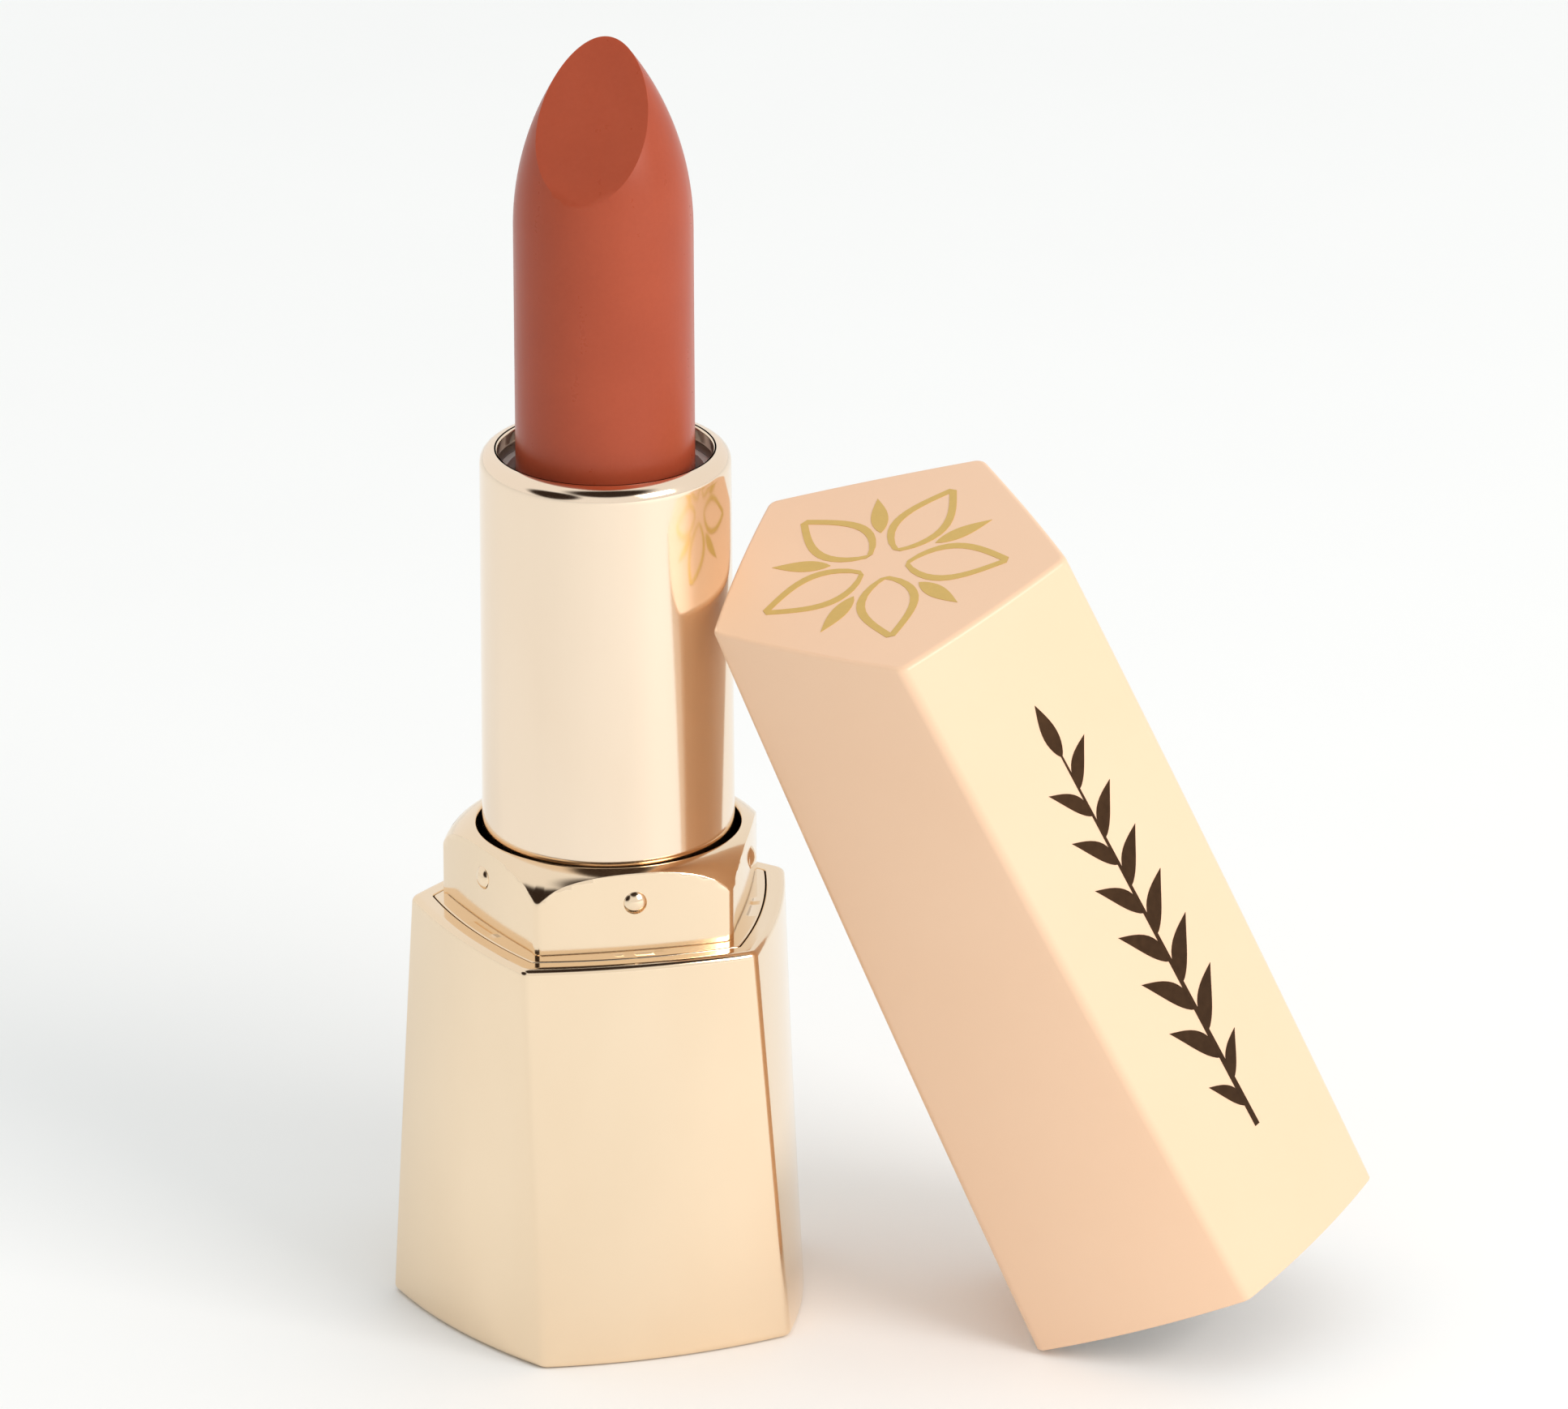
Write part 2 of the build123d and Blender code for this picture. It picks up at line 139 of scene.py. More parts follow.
# %% [markdown]
# ## Node trees written as sums
#
# Geometry and shader trees are both made of small maths nodes. Wiring them one by one is hard to
# read, so one class stands for the output of a node and lets Python's own operators add the nodes.
# A second class adds any other node: its type, its settings, then the values or links it takes.

# %% Sockets that can be added, multiplied and compared
class Wire:
    """The output of a node. Operators on it add Math nodes to its tree."""

    def __init__(self, maker, socket):
        self.maker = maker
        self.socket = socket

    def math(self, operation, *others):
        return self.maker.math(operation, self, *others)


def operator(operation, reflected):
    def method(self, other):
        first, second = (other, self) if reflected else (self, other)
        return self.maker.math(operation, first, second)
    return method


OPERATIONS = {"add": "ADD", "sub": "SUBTRACT", "mul": "MULTIPLY", "truediv": "DIVIDE"}
for python_name, operation in OPERATIONS.items():
    setattr(Wire, f"__{python_name}__", operator(operation, reflected=False))
    setattr(Wire, f"__r{python_name}__", operator(operation, reflected=True))
Wire.__lt__ = operator("LESS_THAN", reflected=False)


# %% One way to add any node
class Maker:
    """Adds nodes to a tree."""

    def __init__(self, tree):
        self.tree = tree

    def node(self, kind, settings=None, values=None):
        node = self.tree.nodes.new(kind)
        for name, setting in (settings or {}).items():
            setattr(node, name, setting)
        for key, value in (values or {}).items():
            if isinstance(value, Wire):
                self.tree.links.new(value.socket, node.inputs[key])
            else:
                node.inputs[key].default_value = value
        return node

    def out(self, kind, settings=None, values=None, output=0):
        return Wire(self, self.node(kind, settings, values).outputs[output])

    def math(self, operation, *values):
        return self.out("ShaderNodeMath", {"operation": operation}, dict(enumerate(values)))

    def vector(self, operation, *values, output=0):
        settings = {"operation": operation}
        return self.out("ShaderNodeVectorMath", settings, dict(enumerate(values)), output)

    def parts(self, vector):
        node = self.node("ShaderNodeSeparateXYZ", None, {0: vector})
        return [Wire(self, output) for output in node.outputs]

    def joined(self, x, y, z):
        return self.out("ShaderNodeCombineXYZ", None, {0: x, 1: y, 2: z})


def between(low, high, share):
    return low + (high - low) * share


# %% A geometry tree with named inputs
def new_geometry_tree(name, inputs):
    """Returns the tree, its maker and a wire for each named input."""
    tree = bpy.data.node_groups.new(name, "GeometryNodeTree")
    tree.interface.new_socket("Geometry", in_out="INPUT", socket_type="NodeSocketGeometry")
    for title, kind in inputs.items():
        tree.interface.new_socket(title, in_out="INPUT", socket_type=f"NodeSocket{kind}")
    tree.interface.new_socket("Geometry", in_out="OUTPUT", socket_type="NodeSocketGeometry")
    make = Maker(tree)
    entry = make.node("NodeGroupInput")
    given = {socket.name: Wire(make, socket) for socket in entry.outputs if socket.name}
    return tree, make, given


def finish_geometry_tree(make, geometry, material):
    """Every tree ends the same way, so that the result can be turned into a plain mesh."""
    real = make.out("GeometryNodeRealizeInstances", None, {0: geometry})
    smooth = make.out("GeometryNodeSetShadeSmooth", None, {0: real})
    painted = make.out("GeometryNodeSetMaterial", None, {0: smooth, "Material": material})
    make.node("NodeGroupOutput", None, {0: painted})


def grown(name, start_mesh, tree, values):
    """Runs a geometry tree on a mesh once and keeps the result as a plain mesh object."""
    piece = placed(name, start_mesh)
    modifier = piece.modifiers.new(name, "NODES")
    modifier.node_group = tree
    sockets = {item.name: item.identifier for item in tree.interface.items_tree
               if item.in_out == "INPUT"}
    for title, value in values.items():
        modifier[sockets[title]] = value
    bpy.context.view_layer.update()
    evaluated = piece.evaluated_get(bpy.context.evaluated_depsgraph_get())
    mesh = bpy.data.meshes.new_from_object(evaluated)
    piece.modifiers.clear()
    piece.data = mesh
    mesh.name = name
    print(name, "has", len(mesh.vertices), "points and", len(mesh.polygons), "faces")
    return piece


# %% [markdown]
# ## Finishes
#
# Gold on a lipstick case is a vacuum-coated film over moulded plastic: a mirror with a faint
# orange-peel ripple, and the odd fingerprint that only shows as a change of gloss. The cap is
# sprayed with a satin lacquer, whose fine grain scatters the light. The stick is wax and pigment.
# Each finish is a Principled shader; noise read from Object coordinates varies its colour, its
# roughness and a fine bump, so that no surface is one flat value.

# %% The parts that every finish shares
def new_finish(name):
    material = bpy.data.materials.new(name)
    material.use_nodes = True
    material.node_tree.nodes.clear()
    make = Maker(material.node_tree)
    place = make.out("ShaderNodeTexCoord", output="Object")
    return material, make, place


def grain(make, place, scale, detail=3.0, stretch=(1, 1, 1), turn=(0, 0, 0)):
    """Noise from 0 to 1; scale is in waves per metre."""
    mapping = {"Vector": place, "Scale": stretch, "Rotation": turn}
    mapped = make.out("ShaderNodeMapping", None, mapping)
    waves = {"Vector": mapped, "Scale": scale, "Detail": detail}
    return make.out("ShaderNodeTexNoise", None, waves)


# A colour mix shares its socket names with the mixes of numbers, so its sockets go by number.
MIX_AMOUNT = 0
MIX_FIRST = 6
MIX_SECOND = 7
MIX_RESULT = 2


def tinted(make, amount, dark, light):
    """A colour that moves from dark to light with the amount."""
    values = {MIX_AMOUNT: amount, MIX_FIRST: (*dark, 1), MIX_SECOND: (*light, 1)}
    return make.out("ShaderNodeMix", {"data_type": "RGBA"}, values, output=MIX_RESULT)


def rippled(make, height, strength, distance, under=None):
    """A bump from a height, laid over another bump if one is given."""
    values = {"Height": height, "Strength": strength, "Distance": distance}
    if under is not None:
        values["Normal"] = under
    return make.out("ShaderNodeBump", None, values)


def finished(material, make, values):
    shader = make.out("ShaderNodeBsdfPrincipled", None, values)
    make.node("ShaderNodeOutputMaterial", None, {0: shader})
    return material


# %% Gold: a mirror film with a soft ripple and faint smears
def gold_finish(name, dark, light, gloss, drawn):
    """drawn stretches the ripple: round the axis on a drawn tube, evenly on a moulding."""
    material, make, place = new_finish(name)
    smears = grain(make, place, 140, 4, stretch=(1, 1, 0.45))
    speckle = grain(make, place, 2600, 2)
    ripple = grain(make, place, 420, 2, stretch=drawn)
    wear = smears.math("SMOOTH_MIN", speckle + 0.15, 0.2)
    peel = rippled(make, ripple, 0.10, 0.02 * MM)
    return finished(material, make, {
        "Base Color": tinted(make, smears, dark, light),
        "Metallic": 1.0,
        "Roughness": wear * 0.10 + gloss,
        "Normal": rippled(make, speckle, 0.04, 0.004 * MM, under=peel),
    })


base_gold = gold_finish("base_gold", (0.86, 0.68, 0.48), (0.92, 0.75, 0.55), 0.07, (1, 1, 1))
tube_gold = gold_finish("tube_gold", (0.88, 0.71, 0.54), (0.93, 0.78, 0.62), 0.06, (1, 1, 0.2))


# %% Peach lacquer: satin, with a fine powdery grain
def lacquer_finish():
    material, make, place = new_finish("peach_lacquer")
    clouds = grain(make, place, 90, 4)
    powder = grain(make, place, 5200, 2)
    orange_peel = rippled(make, grain(make, place, 900, 2), 0.12, 0.01 * MM)
    return finished(material, make, {
        "Base Color": tinted(make, clouds, (0.85, 0.56, 0.365), (0.88, 0.595, 0.40)),
        "Roughness": powder * 0.12 + 0.36,
        "Normal": rippled(make, powder, 0.10, 0.006 * MM, under=orange_peel),
        "Coat Weight": 0.25,
        "Coat Roughness": 0.22,
        "Specular IOR Level": 0.55,
    })


peach_lacquer = lacquer_finish()


# %% The stick: pigment in wax, with sheen along its moulded side and streaks across its cut
def stick_finish():
    material, make, place = new_finish("terracotta_stick")
    clouds = grain(make, place, 160, 5)
    specks = grain(make, place, 3400, 3)
    streaks = grain(make, place, 700, 3, stretch=(1, 1, 0.12), turn=(0.3, 0.5, 0))
    wax = rippled(make, streaks, 0.22, 0.035 * MM)
    return finished(material, make, {
        "Base Color": tinted(make, clouds * 0.7 + specks * 0.3, (0.32, 0.052, 0.021),
                             (0.43, 0.080, 0.034)),
        "Roughness": streaks * 0.22 + specks * 0.08 + 0.17,
        "Normal": rippled(make, specks, 0.10, 0.012 * MM, under=wax),
        "Specular IOR Level": 0.26,
        "Subsurface Weight": 0.10,
        "Subsurface Radius": (1.0, 0.35, 0.2),
        "Subsurface Scale": 1.2 * MM,
    })


terracotta_stick = stick_finish()


# %% Foil: thin hot-stamped metal
def foil_finish(name, dark, light, metallic, roughness):
    material, make, place = new_finish(name)
    crackle = grain(make, place, 1800, 4)
    return finished(material, make, {
        "Base Color": tinted(make, crackle, dark, light),
        "Metallic": metallic,
        "Roughness": crackle * 0.2 + roughness,
        "Normal": rippled(make, crackle, 0.15, 0.008 * MM),
    })


bronze_foil = foil_finish("bronze_foil", (0.040, 0.018, 0.007), (0.070, 0.034, 0.014), 0.85, 0.28)
gold_foil = foil_finish("gold_foil", (0.64, 0.43, 0.12), (0.74, 0.51, 0.16), 0.45, 0.38)


# %% Plain working finishes for the pieces inside
def working_finish(name, dark, light, roughness, metallic=0.0, scale=700, depth=0.01):
    material, make, place = new_finish(name)
    mottle = grain(make, place, scale, 4)
    return finished(material, make, {
        "Base Color": tinted(make, mottle, dark, light),
        "Metallic": metallic,
        "Roughness": mottle * 0.18 + roughness,
        "Normal": rippled(make, mottle, 0.2, depth * MM),
    })


white_moulding = working_finish("white_moulding", (0.74, 0.73, 0.70), (0.82, 0.81, 0.79), 0.32)
grey_moulding = working_finish("grey_moulding", (0.36, 0.37, 0.37), (0.44, 0.45, 0.45), 0.28)
cast_steel = working_finish("cast_steel", (0.42, 0.42, 0.43), (0.55, 0.55, 0.55), 0.35, 0.95, 1500)
soft_silicone = working_finish("soft_silicone", (0.50, 0.50, 0.49), (0.58, 0.58, 0.57), 0.55)
label_paper = working_finish("label_paper", (0.80, 0.78, 0.74), (0.88, 0.87, 0.84), 0.65,
                             scale=2400, depth=0.02)
INSIDE_FINISHES = {
    "bottom_label": label_paper, "base_weight": cast_steel, "base_core": white_moulding,
    "fork": white_moulding, "friction_ring": soft_silicone, "cam": grey_moulding,
    "cup": white_moulding, "cap_liner": white_moulding,
}
for node_name, material in INSIDE_FINISHES.items():
    frame["nodes"][node_name].data.materials.clear()
    frame["nodes"][node_name].data.materials.append(material)
print("finishes", len(bpy.data.materials))

# %% [markdown]
# ## Sections with soft corners
#
# Every wall here is a section carried round the axis, so its corners decide how the edges catch
# the light. A moulded edge is never sharp. The helper below lists a section's points with an arc at
# each corner, and adds a point just before and after each arc: they hold the flat faces flat, so
# that smooth shading doesn't bend the reflections near an edge.

# %% Rounding the corners of a section
ARC_STEPS = 6
HOLD = 0.12     # holding points stand this share of the radius away from the arc


def softened(corners, closed=False):
    """Points of a section whose (across, up, radius) corners are drawn as arcs."""
    points = []
    for index, (across, up, radius) in enumerate(corners):
        here = Vector((across, up))
        at_end = not closed and index in (0, len(corners) - 1)
        if radius == 0 or at_end:
            points.append(here)
            continue
        back = (Vector(corners[index - 1][:2]) - here).normalized()
        ahead = (Vector(corners[(index + 1) % len(corners)][:2]) - here).normalized()
        half = back.angle(ahead) / 2
        centre = here + (back + ahead).normalized() * radius / sin(half)
        first = here + back * radius / tan(half) - centre
        last = here + ahead * radius / tan(half) - centre
        sweep = atan2(first.x * last.y - first.y * last.x, first.dot(last))
        points.append(centre + first + back * radius * HOLD)
        for step in range(ARC_STEPS + 1):
            points.append(centre + Matrix.Rotation(sweep * step / ARC_STEPS, 2) @ first)
        points.append(centre + last + ahead * radius * HOLD)
    return points


def spaced(points, longest):
    """The same points with more between them wherever two lie further apart than asked."""
    filled = [points[0]]
    for point in points[1:]:
        gap = point - filled[-1]
        count = int(gap.length / longest) + 1
        start = filled[-1]
        filled += [start + gap * (step + 1) / count for step in range(count)]
    return filled


# %% [markdown]
# ## The five-sided wall
#
# The base, the neck and the cap follow one rule: at each height the outline is five bowed sides
# with rounded corners, whose size, bow and turn blend from a low value to a high one. A Geometry
# Nodes tree is the right tool for a rule. It takes a section whose points hold three numbers: how
# far the wall is set in from the outline, its reach (1 on the outline, 0 on a round core, -1 on
# the axis) and its height. The tree lays a grid, one row for each section point and one column for
# each place round the form, and moves every grid point to where the rule puts it.

# %% Where the rounded outline is, at a height
CORNER_STEPS = 10
SIDE_STEPS = 18
STEPS_PER_SIDE = CORNER_STEPS + SIDE_STEPS
COLUMNS = SIDES * STEPS_PER_SIDE
SMALLEST_CORNER = 0.3 * MM
LARGEST_SPACING = 2.2 * MM
MERGE_DISTANCE = 0.002 * MM
HIGHEST_SHARE = 1.2     # a sloping end rises past the form's height, up to this share of it
SLOPE_PASSES = 2        # repeats, since the outline depends on the height that the slope gives


def outline(given, height, inset, column):
    """Distance from the axis and turn of one column of the form, at a height."""
    up = (height / given["Height"]).math("MINIMUM", HIGHEST_SHARE)
    bulge = between(given["Low Bulge"], given["High Bulge"], up.math("MINIMUM", 1.0))
    radius = between(given["Low Radius"], given["High Radius"], up) - inset / cos(HALF_TURN)
    rounding = (given["Corner Rounding"] - inset).math("MAXIMUM", SMALLEST_CORNER)
    half_side = radius * sin(HALF_TURN)
    arc = (half_side * half_side + bulge * bulge) / (bulge * 2)
    behind = arc - radius * cos(HALF_TURN) - bulge
    behind_along = behind * cos(HALF_TURN)
    behind_across = behind * sin(HALF_TURN)
    inner = arc - rounding
    corner = (inner * inner - behind_across * behind_across).math("SQRT") - behind_along
    touch_along = corner + rounding * (corner + behind_along) / inner
    touch_across = rounding * behind_across / inner
    touch = touch_across.math("ARCTAN2", touch_along)
    side = ((column + 0.5) / STEPS_PER_SIDE).math("FLOOR")
    step = column - side * STEPS_PER_SIDE
    on_corner = step < CORNER_STEPS - 0.5
    corner_angle = touch * (step * (2 / CORNER_STEPS) - 1)
    side_angle = touch + (STEP_TURN - touch * 2) * (step - CORNER_STEPS) / SIDE_STEPS
    off_corner = corner * corner_angle.math("SINE")
    corner_distance = (corner * corner_angle.math("COSINE")
                       + (rounding * rounding - off_corner * off_corner).math("SQRT"))
    from_middle = side_angle - HALF_TURN
    off_side = behind * from_middle.math("SINE")
    side_distance = ((arc * arc - off_side * off_side).math("SQRT")
                     - behind * from_middle.math("COSINE"))
    distance = between(side_distance, corner_distance, on_corner)
    angle = between(side_angle, corner_angle, on_corner)
    turn = between(given["Low Turn"], given["High Turn"], up) + side * STEP_TURN + angle
    return distance, turn


# %% The tree
WALL_INPUTS = {
    "Height": "Float", "Low Radius": "Float", "High Radius": "Float", "Low Bulge": "Float",
    "High Bulge": "Float", "Corner Rounding": "Float", "Low Turn": "Float", "High Turn": "Float",
    "End Slope": "Float", "Uphill Turn": "Float", "Core Radius": "Float", "Dome Radius": "Float",
    "Dome Centre Radius": "Float", "Dome Centre Height": "Float", "Material": "Material",
}


def five_sided_wall():
    tree, make, given = new_geometry_tree("five_sided_wall", WALL_INPUTS)
    section = given["Geometry"]
    rows = make.out("GeometryNodeAttributeDomainSize", {"component": "MESH"}, {0: section})
    grid = make.out("GeometryNodeMeshGrid", None, {"Vertices X": rows, "Vertices Y": COLUMNS + 1})
    index = make.out("GeometryNodeInputIndex")
    row = ((index + 0.5) / (COLUMNS + 1)).math("FLOOR")
    column = index - row * (COLUMNS + 1)
    position = make.out("GeometryNodeInputPosition")
    sample = make.out("GeometryNodeSampleIndex", {"data_type": "FLOAT_VECTOR", "domain": "POINT"},
                      {"Geometry": section, "Value": position, "Index": row})
    inset, reach, height = make.parts(sample)
    uphill = given["Uphill Turn"]
    rise = given["End Slope"] / given["Height"]

    def raised(distance, turn):
        """The height, stretched so that the form's full height lands on its sloping end."""
        along = distance * (turn - uphill).math("COSINE")
        return height * (along * rise + 1)

    edge_height = height
    for _ in range(SLOPE_PASSES):
        edge_height = raised(*outline(given, edge_height, inset, column))
    distance, turn = outline(given, edge_height, inset, column)
    outer_share = reach.math("MAXIMUM", 0.0)
    core_share = reach.math("MINIMUM", 0.0) + 1
    spoke = distance * outer_share + given["Core Radius"] * core_share * (1 - outer_share)
    beyond = (spoke - given["Dome Centre Radius"]).math("MAXIMUM", 0.0)
    dome_rise = (given["Dome Radius"] * given["Dome Radius"] - beyond * beyond).math("SQRT")
    top = raised(spoke, turn).math("MINIMUM", given["Dome Centre Height"] + dome_rise)
    place = make.joined(spoke * turn.math("SINE"), spoke * turn.math("COSINE") * -1, top)
    shaped = make.out("GeometryNodeSetPosition", None, {"Geometry": grid, "Position": place})
    merged = make.out("GeometryNodeMergeByDistance", None,
                      {"Geometry": shaped, "Distance": MERGE_DISTANCE})
    finish_geometry_tree(make, merged, given["Material"])
    return tree


wall_tree = five_sided_wall()
NO_DOME = {"Dome Radius": 1.0, "Dome Centre Radius": 1.0, "Dome Centre Height": 1.0}
LEVEL_END = {"End Slope": 0.0, "Uphill Turn": 0.0}
print("wall tree has", len(wall_tree.nodes), "nodes")


# %% A section as a row of points
def section_mesh(rows):
    """Rows are (inset, reach, height)."""
    mesh = bpy.data.meshes.new("section")
    mesh.from_pydata(rows, [], [])
    return mesh


def on_outline(corners):
    """Section points on the form itself, from (inset, height, radius) corners."""
    return [(point.x, 1.0, point.y) for point in spaced(softened(corners), LARGEST_SPACING)]


def across_end(inset, height, start, end, count=8):
    """Points that run over a flat end, from one reach to another."""
    return [(inset, between(start, end, step / count), height) for step in range(count)]


# %% [markdown]
# ## The base
#
# The base is a moulded cup, wide at the table and turned a few degrees against its ledge, so its
# five edges lean. It could be a lofted mesh edited by hand, but the rule above gives the exact
# form with even faces. The section starts at the middle of the inner floor, goes out to the wall
# and up to the ledge, over its rounded edge, down the outside to the rounded foot, and in
# underneath to the round seat of the label.

# %% Base shell
SOFT_EDGE = 0.45 * MM
INNER_EDGE = 0.12 * MM
BASE_FORM = {
    "Height": BASE_HEIGHT, "Low Radius": FOOT_RADIUS, "High Radius": LEDGE_RADIUS,
    "Low Bulge": FOOT_BULGE, "High Bulge": LEDGE_BULGE, "Corner Rounding": CORNER_ROUNDING,
    "Low Turn": FOOT_TURN, "High Turn": LEDGE_TURN, "Core Radius": LABEL_SEAT_RADIUS,
    **LEVEL_END, **NO_DOME,
}
inner_floor = across_end(BASE_WALL, BASE_FLOOR, -1.0, 1.0)
wall_rows = on_outline([
    (BASE_WALL, BASE_FLOOR, 0), (BASE_WALL, BASE_HEIGHT, INNER_EDGE),
    (0.0, BASE_HEIGHT, SOFT_EDGE), (0.0, 0.0, SOFT_EDGE), (2 * SOFT_EDGE, 0.0, 0),
])
underside = [(2 * SOFT_EDGE, reach, 0.0) for reach in (0.7, 0.35, 0.0)]
label_seat = across_end(0.0, LABEL_RECESS, 0.0, -1.0) + [(0.0, -1.0, LABEL_RECESS)]
base_rows = inner_floor + wall_rows + underside + label_seat
base = grown("base_shell_gold", section_mesh(base_rows), wall_tree,
             {**BASE_FORM, "Material": base_gold})

# %% [markdown]
# ## The neck
#
# The neck carries the cap. It is a straight five-sided collar whose corners are turned off by a
# dome, so that each face ends in a shallow arch, and it stands on a thin flange that fills the
# mouth of the base. The same tree makes both: the dome is a ceiling that no point may rise above.

# %% Neck and flange
BORE_EDGE = 0.3 * MM
NECK_SINK = 1.0 * MM
DOME_ROWS = 24
NECK_ROWS = 16
CORE = NECK_BORE_RADIUS + BORE_EDGE
NECK_FORM = {
    "Height": NECK_TOP, "Low Radius": NECK_RADIUS, "High Radius": NECK_RADIUS,
    "Low Bulge": NECK_BULGE, "High Bulge": NECK_BULGE, "Corner Rounding": NECK_CORNER,
    "Low Turn": LEDGE_TURN, "High Turn": LEDGE_TURN, "Core Radius": CORE, **LEVEL_END,
    "Dome Radius": SHOULDER_RADIUS, "Dome Centre Radius": NECK_RADIUS - SHOULDER_RADIUS,
    "Dome Centre Height": NECK_TOP - SHOULDER_DEPTH,
}


def bore_rows(low, high, edge):
    """The round bore, from its bottom up to its rounded upper edge."""
    rows = [(0.0, -edge / CORE, low), (0.0, -edge / CORE, high - edge)]
    for step in range(1, ARC_STEPS + 1):
        angle = pi / 2 * step / ARC_STEPS
        rows.append((0.0, -edge * cos(angle) / CORE, high - edge + edge * sin(angle)))
    return rows


neck_low = BASE_HEIGHT - NECK_SINK
neck_rows = bore_rows(neck_low, NECK_TOP, BORE_EDGE)
neck_rows += [(0.0, step / DOME_ROWS, NECK_TOP) for step in range(1, DOME_ROWS + 1)]
neck_rows += [(0.0, 1.0, between(NECK_TOP, neck_low, step / NECK_ROWS))
              for step in range(1, NECK_ROWS + 1)]
neck_rows += across_end(0.0, neck_low, 1.0, 0.0) + neck_rows[:1]
neck = grown("neck_gold", section_mesh(neck_rows), wall_tree,
             {**NECK_FORM, "Material": base_gold})

FLANGE_INSET = BASE_WALL + SEAM
FLANGE_EDGE = 0.1 * MM
flange_low = BASE_HEIGHT - FLANGE_THICKNESS
flange_rows = [(2 * FLANGE_INSET, reach, BASE_HEIGHT) for reach in (0.0, 0.4, 0.8)]
flange_rows += on_outline([
    (2 * FLANGE_INSET, BASE_HEIGHT, 0), (FLANGE_INSET, BASE_HEIGHT, FLANGE_EDGE),
    (FLANGE_INSET, flange_low, 0),
])
flange_rows += across_end(FLANGE_INSET, flange_low, 1.0, 0.0, 4)
flange_rows += [(FLANGE_INSET, 0.0, flange_low), flange_rows[0]]
flange_form = {**BASE_FORM, "Low Radius": LEDGE_RADIUS, "Low Bulge": LEDGE_BULGE,
               "Low Turn": LEDGE_TURN, "Core Radius": CORE}
flange = grown("neck_flange_gold", section_mesh(flange_rows), wall_tree,
               {**flange_form, "Material": base_gold})

# %% [markdown]
# ## The cap
#
# The cap is the same five-sided form again, longer, with its edges leaning the other way and its
# closed end cut on a slope. In its own frame it stands on its mouth. The engineering model lets it
# tip about the edge that it rests on, so the place of that hinge and the size of its travel give
# the cap's lean and position.

# %% Cap shell, made upright and then leaned
END_EDGE = 0.32 * MM
MOUTH_EDGE = 0.15 * MM
CAP_FORM = {
    "Height": CAP_HEIGHT, "Low Radius": LEDGE_RADIUS, "High Radius": CAP_TOP_RADIUS,
    "Low Bulge": LEDGE_BULGE, "High Bulge": CAP_TOP_BULGE, "Corner Rounding": CORNER_ROUNDING,
    "Low Turn": CAP_MOUTH_TURN, "High Turn": CAP_TOP_TURN, "End Slope": CAP_END_SLOPE,
    "Uphill Turn": CAP_UPHILL_TURN, "Core Radius": NECK_BORE_RADIUS, **NO_DOME,
}
inner_end = CAP_HEIGHT - CAP_END_WALL
cap_rows = across_end(4 * END_EDGE, CAP_HEIGHT, -1.0, 1.0, 14)
cap_rows += on_outline([
    (4 * END_EDGE, CAP_HEIGHT, 0), (0.0, CAP_HEIGHT, END_EDGE), (0.0, 0.0, MOUTH_EDGE),
    (CAP_WALL, 0.0, MOUTH_EDGE), (CAP_WALL, inner_end, 0),
])
cap_rows += across_end(CAP_WALL, inner_end, 1.0, -1.0) + [(CAP_WALL, -1.0, inner_end)]
cap = grown("cap_shell_peach", section_mesh(cap_rows), wall_tree,
            {**CAP_FORM, "Material": peach_lacquer})

hinge = joints["cap_tip"]
CAP_LEAN = radians(hinge["range_deg"][1])
resting_edge = Vector((-(LEDGE_RADIUS * cos(HALF_TURN) + LEDGE_BULGE), 0, 0))
lean = Matrix.Rotation(-CAP_LEAN, 4, "Y")
cap_place = Matrix.Translation(hinge["pos_m"]) @ lean @ Matrix.Translation(-resting_edge)
cap.data.transform(cap_place)
print("cap leans", round(hinge["range_deg"][1], 1), "degrees")

# %% [markdown]
# ## The tube and the stick
#
# The tube is drawn metal with its rim rolled inwards, and the stick is moulded wax with a slanted
# cut. Both are round, so a half section turned about the axis is all they need. The stick's nose is
# one arc; the cut is a plane through the finished form, and its edge is then bevelled a little, as
# wax never holds a sharp edge.

# %% Turning a half section
TURNING_STEPS = 144


def turned(name, points, closed, material):
    """Spins (radius, height) points about the axis. Points on the axis become poles."""
    shape = bmesh.new()
    rings = []
    for radius, height in points:
        if radius < MERGE_DISTANCE:
            rings.append([shape.verts.new((0, 0, height))] * TURNING_STEPS)
            continue
        turns = [2 * pi * step / TURNING_STEPS for step in range(TURNING_STEPS)]
        rings.append([shape.verts.new((radius * sin(t), -radius * cos(t), height)) for t in turns])
    following = rings[1:] + rings[:1] if closed else rings[1:]
    for lower, upper in zip(rings, following):
        for here in range(TURNING_STEPS):
            after = (here + 1) % TURNING_STEPS
            corners = [lower[here], lower[after], upper[after], upper[here]]
            shape.faces.new(dict.fromkeys(corners))
    mesh = kept(shape, name)
    mesh.shade_smooth()
    mesh.materials.append(material)
    print(name, "has", len(mesh.vertices), "points")
    return placed(name, mesh)


